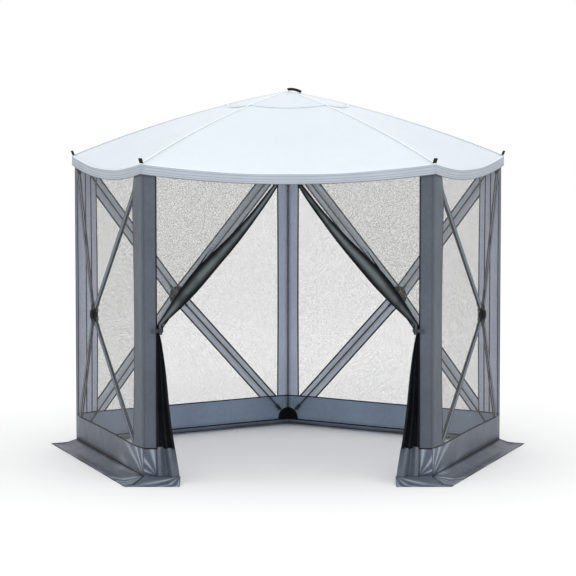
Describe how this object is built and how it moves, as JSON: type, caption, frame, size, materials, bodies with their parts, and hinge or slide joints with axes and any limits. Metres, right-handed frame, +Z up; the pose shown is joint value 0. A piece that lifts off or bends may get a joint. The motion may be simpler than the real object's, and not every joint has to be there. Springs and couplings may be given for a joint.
{
  "type": "pop-up screen house",
  "caption": "Free-standing mesh shelter with a pointed fabric roof, sprung hub walls and a tied-back door.",
  "frame": {"origin": "on the ground, under the middle of the footprint's box", "axes": "+Z up, the door faces -Y, +X to the right of someone who stands outside and faces the door"},
  "size_m": [3.08, 2.9294, 2.3045],
  "materials": {
    "screen_mesh": "fine woven insect mesh",
    "dark_curtain": "rolled mesh and coated fabric",
    "band_fabric": "coated polyester",
    "slate_fabric": "coated polyester",
    "foot_band_fabric": "coated polyester",
    "skirt_fabric": "coated polyester",
    "roof_fabric": "coated polyester",
    "valance_fabric": "coated polyester",
    "black_webbing": "woven webbing",
    "hub_plastic": "moulded nylon",
    "glass_fibre": "pultruded glass-fibre rod",
    "steel_pin": "turned",
    "zip_black": "coil zip",
    "zip_metal": "die-cast"
  },
  "bodies": {
    "shelter": {"corner_patches": "black_webbing", "corner_strips": "slate_fabric", "diagonal_bands": "band_fabric", "door_curtain_left": "dark_curtain", "door_curtain_right": "dark_curtain", "door_zip_slider": "zip_black", "ground_skirt": "skirt_fabric", "roof_canopy": "roof_fabric", "roof_cap": "roof_fabric", "roof_corner_loops": "black_webbing", "tie_strap_left": "black_webbing", "tie_strap_right": "black_webbing", "valance": "valance_fabric", "wall_foot_bands": "foot_band_fabric", "wall_mesh_left": "screen_mesh", "wall_mesh_rear_left": "screen_mesh", "wall_mesh_rear_right": "screen_mesh", "wall_mesh_right": "screen_mesh"},
    "hub_left": {"hub_left": "hub_plastic", "hub_left_pins": "steel_pin", "hub_left_strap": "black_webbing"},
    "pole_left_lower_front_left": {"pole_left_lower_front_left": "glass_fibre"},
    "pole_left_lower_side_left": {"pole_left_lower_side_left": "glass_fibre"},
    "pole_left_upper_side_left": {"pole_left_upper_side_left": "glass_fibre"},
    "pole_left_upper_front_left": {"pole_left_upper_front_left": "glass_fibre"},
    "hub_rear_left": {"hub_rear_left": "hub_plastic", "hub_rear_left_pins": "steel_pin", "hub_rear_left_strap": "black_webbing"},
    "pole_rear_left_lower_side_left": {"pole_rear_left_lower_side_left": "glass_fibre"},
    "pole_rear_left_lower_rear": {"pole_rear_left_lower_rear": "glass_fibre"},
    "pole_rear_left_upper_rear": {"pole_rear_left_upper_rear": "glass_fibre"},
    "pole_rear_left_upper_side_left": {"pole_rear_left_upper_side_left": "glass_fibre"},
    "hub_rear_right": {"hub_rear_right": "hub_plastic", "hub_rear_right_pins": "steel_pin", "hub_rear_right_strap": "black_webbing"},
    "pole_rear_right_lower_rear": {"pole_rear_right_lower_rear": "glass_fibre"},
    "pole_rear_right_lower_side_right": {"pole_rear_right_lower_side_right": "glass_fibre"},
    "pole_rear_right_upper_side_right": {"pole_rear_right_upper_side_right": "glass_fibre"},
    "pole_rear_right_upper_rear": {"pole_rear_right_upper_rear": "glass_fibre"},
    "hub_right": {"hub_right": "hub_plastic", "hub_right_pins": "steel_pin", "hub_right_strap": "black_webbing"},
    "pole_right_lower_side_right": {"pole_right_lower_side_right": "glass_fibre"},
    "pole_right_lower_front_right": {"pole_right_lower_front_right": "glass_fibre"},
    "pole_right_upper_front_right": {"pole_right_upper_front_right": "glass_fibre"},
    "pole_right_upper_side_right": {"pole_right_upper_side_right": "glass_fibre"},
    "hub_roof": {"hub_roof": "hub_plastic", "hub_roof_pins": "steel_pin", "hub_roof_strap": "black_webbing"},
    "pole_roof_front_left": {"pole_roof_front_left": "glass_fibre"},
    "pole_roof_front_right": {"pole_roof_front_right": "glass_fibre"},
    "pole_roof_side_right": {"pole_roof_side_right": "glass_fibre"},
    "pole_roof_rear": {"pole_roof_rear": "glass_fibre"},
    "pole_roof_side_left": {"pole_roof_side_left": "glass_fibre"},
    "tie_toggle_left": {"tie_toggle_left": "hub_plastic"},
    "tie_toggle_right": {"tie_toggle_right": "hub_plastic"},
    "door_zip_pull": {"door_zip_pull": "zip_metal"}
  },
  "joints": [
    {"name": "hub_left_pop", "type": "slide", "parent": "shelter", "child": "hub_left", "axis": [-0.9511, -0.309, 0], "range_m": [-0.2, 0], "deforming": ["wall_mesh_left", "diagonal_bands", "corner_strips", "wall_foot_bands", "corner_patches"]},
    {"name": "pole_left_lower_front_left_swing", "type": "hinge", "parent": "hub_left", "child": "pole_left_lower_front_left", "pos_m": [-1.176, -0.56433, 0.89752], "axis": [-0.2235, 0.6879, -0.6906], "range_deg": [0, 9.64]},
    {"name": "pole_left_lower_side_left_swing", "type": "hinge", "parent": "hub_left", "child": "pole_left_lower_side_left", "pos_m": [-1.19222, -0.51441, 0.89752], "axis": [-0.2235, 0.6879, 0.6906], "range_deg": [0, 9.64]},
    {"name": "pole_left_upper_side_left_swing", "type": "hinge", "parent": "hub_left", "child": "pole_left_upper_side_left", "pos_m": [-1.19192, -0.51534, 0.95338], "axis": [0.2308, -0.7103, 0.665], "range_deg": [0, 9.28]},
    {"name": "pole_left_upper_front_left_swing", "type": "hinge", "parent": "hub_left", "child": "pole_left_upper_front_left", "pos_m": [-1.1763, -0.5634, 0.95338], "axis": [0.2308, -0.7103, -0.665], "range_deg": [0, 9.28]},
    {"name": "hub_rear_left_pop", "type": "slide", "parent": "shelter", "child": "hub_rear_left", "axis": [-0.5878, 0.809, 0], "range_m": [-0.2, 0], "deforming": ["wall_mesh_rear_left", "diagonal_bands", "corner_strips", "wall_foot_bands", "corner_patches"]},
    {"name": "pole_rear_left_lower_side_left_swing", "type": "hinge", "parent": "hub_rear_left", "child": "pole_rear_left_lower_side_left", "pos_m": [-0.75305, 0.83721, 0.89752], "axis": [0.5851, 0.4251, -0.6906], "range_deg": [0, 9.64]},
    {"name": "pole_rear_left_lower_rear_swing", "type": "hinge", "parent": "hub_rear_left", "child": "pole_rear_left_lower_rear", "pos_m": [-0.71059, 0.86806, 0.89752], "axis": [0.5851, 0.4251, 0.6906], "range_deg": [0, 9.64]},
    {"name": "pole_rear_left_upper_rear_swing", "type": "hinge", "parent": "hub_rear_left", "child": "pole_rear_left_upper_rear", "pos_m": [-0.71137, 0.86748, 0.95338], "axis": [-0.6042, -0.439, 0.665], "range_deg": [0, 9.28]},
    {"name": "pole_rear_left_upper_side_left_swing", "type": "hinge", "parent": "hub_rear_left", "child": "pole_rear_left_upper_side_left", "pos_m": [-0.75226, 0.83778, 0.95338], "axis": [-0.6042, -0.439, -0.665], "range_deg": [0, 9.28]},
    {"name": "hub_rear_right_pop", "type": "slide", "parent": "shelter", "child": "hub_rear_right", "axis": [0.5878, 0.809, 0], "range_m": [-0.2, 0], "deforming": ["wall_mesh_rear_right", "diagonal_bands", "corner_strips", "wall_foot_bands", "corner_patches"]},
    {"name": "pole_rear_right_lower_rear_swing", "type": "hinge", "parent": "hub_rear_right", "child": "pole_rear_right_lower_rear", "pos_m": [0.71059, 0.86806, 0.89752], "axis": [0.5851, -0.4251, -0.6906], "range_deg": [0, 9.64]},
    {"name": "pole_rear_right_lower_side_right_swing", "type": "hinge", "parent": "hub_rear_right", "child": "pole_rear_right_lower_side_right", "pos_m": [0.75305, 0.83721, 0.89752], "axis": [0.5851, -0.4251, 0.6906], "range_deg": [0, 9.64]},
    {"name": "pole_rear_right_upper_side_right_swing", "type": "hinge", "parent": "hub_rear_right", "child": "pole_rear_right_upper_side_right", "pos_m": [0.75226, 0.83778, 0.95338], "axis": [-0.6042, 0.439, 0.665], "range_deg": [0, 9.28]},
    {"name": "pole_rear_right_upper_rear_swing", "type": "hinge", "parent": "hub_rear_right", "child": "pole_rear_right_upper_rear", "pos_m": [0.71137, 0.86748, 0.95338], "axis": [-0.6042, 0.439, -0.665], "range_deg": [0, 9.28]},
    {"name": "hub_right_pop", "type": "slide", "parent": "shelter", "child": "hub_right", "axis": [0.9511, -0.309, 0], "range_m": [-0.2, 0], "deforming": ["wall_mesh_right", "diagonal_bands", "corner_strips", "wall_foot_bands", "corner_patches"]},
    {"name": "pole_right_lower_side_right_swing", "type": "hinge", "parent": "hub_right", "child": "pole_right_lower_side_right", "pos_m": [1.19222, -0.51441, 0.89752], "axis": [-0.2235, -0.6879, -0.6906], "range_deg": [0, 9.64]},
    {"name": "pole_right_lower_front_right_swing", "type": "hinge", "parent": "hub_right", "child": "pole_right_lower_front_right", "pos_m": [1.176, -0.56433, 0.89752], "axis": [-0.2235, -0.6879, 0.6906], "range_deg": [0, 9.64]},
    {"name": "pole_right_upper_front_right_swing", "type": "hinge", "parent": "hub_right", "child": "pole_right_upper_front_right", "pos_m": [1.1763, -0.5634, 0.95338], "axis": [0.2308, 0.7103, 0.665], "range_deg": [0, 9.28]},
    {"name": "pole_right_upper_side_right_swing", "type": "hinge", "parent": "hub_right", "child": "pole_right_upper_side_right", "pos_m": [1.19192, -0.51534, 0.95338], "axis": [0.2308, 0.7103, -0.665], "range_deg": [0, 9.28]},
    {"name": "hub_roof_pop", "type": "slide", "parent": "shelter", "child": "hub_roof", "axis": [0, 0, 1], "range_m": [-0.816, 0], "deforming": ["roof_canopy", "roof_cap"]},
    {"name": "pole_roof_front_left_swing", "type": "hinge", "parent": "hub_roof", "child": "pole_roof_front_left", "pos_m": [-0.02234, -0.18537, 2.261], "axis": [-0.809, 0.5878, 0], "range_deg": [0, 32.5]},
    {"name": "pole_roof_front_right_swing", "type": "hinge", "parent": "hub_roof", "child": "pole_roof_front_right", "pos_m": [0.02234, -0.18537, 2.261], "axis": [-0.809, -0.5878, 0], "range_deg": [0, 32.5]},
    {"name": "pole_roof_side_right_swing", "type": "hinge", "parent": "hub_roof", "child": "pole_roof_side_right", "pos_m": [0.03614, -0.14289, 2.261], "axis": [0.309, -0.9511, 0], "range_deg": [0, 32.5]},
    {"name": "pole_roof_rear_swing", "type": "hinge", "parent": "hub_roof", "child": "pole_roof_rear", "pos_m": [0, -0.11663, 2.261], "axis": [1, 0, 0], "range_deg": [0, 32.5]},
    {"name": "pole_roof_side_left_swing", "type": "hinge", "parent": "hub_roof", "child": "pole_roof_side_left", "pos_m": [-0.03614, -0.14289, 2.261], "axis": [0.309, 0.9511, 0], "range_deg": [0, 32.5]},
    {"name": "tie_toggle_left_turn", "type": "hinge", "parent": "shelter", "child": "tie_toggle_left", "pos_m": [-0.747, -1.34417, 0.899], "axis": [0, -1, 0], "range_deg": [-90, 90]},
    {"name": "tie_toggle_right_turn", "type": "hinge", "parent": "shelter", "child": "tie_toggle_right", "pos_m": [0.747, -1.34417, 0.899], "axis": [0, -1, 0], "range_deg": [-90, 90]},
    {"name": "door_zip_pull_swing", "type": "hinge", "parent": "shelter", "child": "door_zip_pull", "pos_m": [0, -1.32767, 1.748], "axis": [-1, 0, 0], "range_deg": [0, 75]}
  ],
  "couplings": [
    {"joint": "pole_left_lower_front_left_swing", "follows": "hub_left_pop", "rad_per_m": -0.84145},
    {"joint": "pole_left_lower_side_left_swing", "follows": "hub_left_pop", "rad_per_m": -0.84145},
    {"joint": "pole_left_upper_side_left_swing", "follows": "hub_left_pop", "rad_per_m": -0.80947},
    {"joint": "pole_left_upper_front_left_swing", "follows": "hub_left_pop", "rad_per_m": -0.80947},
    {"joint": "pole_rear_left_lower_side_left_swing", "follows": "hub_rear_left_pop", "rad_per_m": -0.84145},
    {"joint": "pole_rear_left_lower_rear_swing", "follows": "hub_rear_left_pop", "rad_per_m": -0.84145},
    {"joint": "pole_rear_left_upper_rear_swing", "follows": "hub_rear_left_pop", "rad_per_m": -0.80947},
    {"joint": "pole_rear_left_upper_side_left_swing", "follows": "hub_rear_left_pop", "rad_per_m": -0.80947},
    {"joint": "pole_rear_right_lower_rear_swing", "follows": "hub_rear_right_pop", "rad_per_m": -0.84145},
    {"joint": "pole_rear_right_lower_side_right_swing", "follows": "hub_rear_right_pop", "rad_per_m": -0.84145},
    {"joint": "pole_rear_right_upper_side_right_swing", "follows": "hub_rear_right_pop", "rad_per_m": -0.80947},
    {"joint": "pole_rear_right_upper_rear_swing", "follows": "hub_rear_right_pop", "rad_per_m": -0.80947},
    {"joint": "pole_right_lower_side_right_swing", "follows": "hub_right_pop", "rad_per_m": -0.84145},
    {"joint": "pole_right_lower_front_right_swing", "follows": "hub_right_pop", "rad_per_m": -0.84145},
    {"joint": "pole_right_upper_front_right_swing", "follows": "hub_right_pop", "rad_per_m": -0.80947},
    {"joint": "pole_right_upper_side_right_swing", "follows": "hub_right_pop", "rad_per_m": -0.80947},
    {"joint": "pole_roof_front_left_swing", "follows": "hub_roof_pop", "rad_per_m": -0.69522},
    {"joint": "pole_roof_front_right_swing", "follows": "hub_roof_pop", "rad_per_m": -0.69522},
    {"joint": "pole_roof_side_right_swing", "follows": "hub_roof_pop", "rad_per_m": -0.69522},
    {"joint": "pole_roof_rear_swing", "follows": "hub_roof_pop", "rad_per_m": -0.69522},
    {"joint": "pole_roof_side_left_swing", "follows": "hub_roof_pop", "rad_per_m": -0.69522}
  ]
}
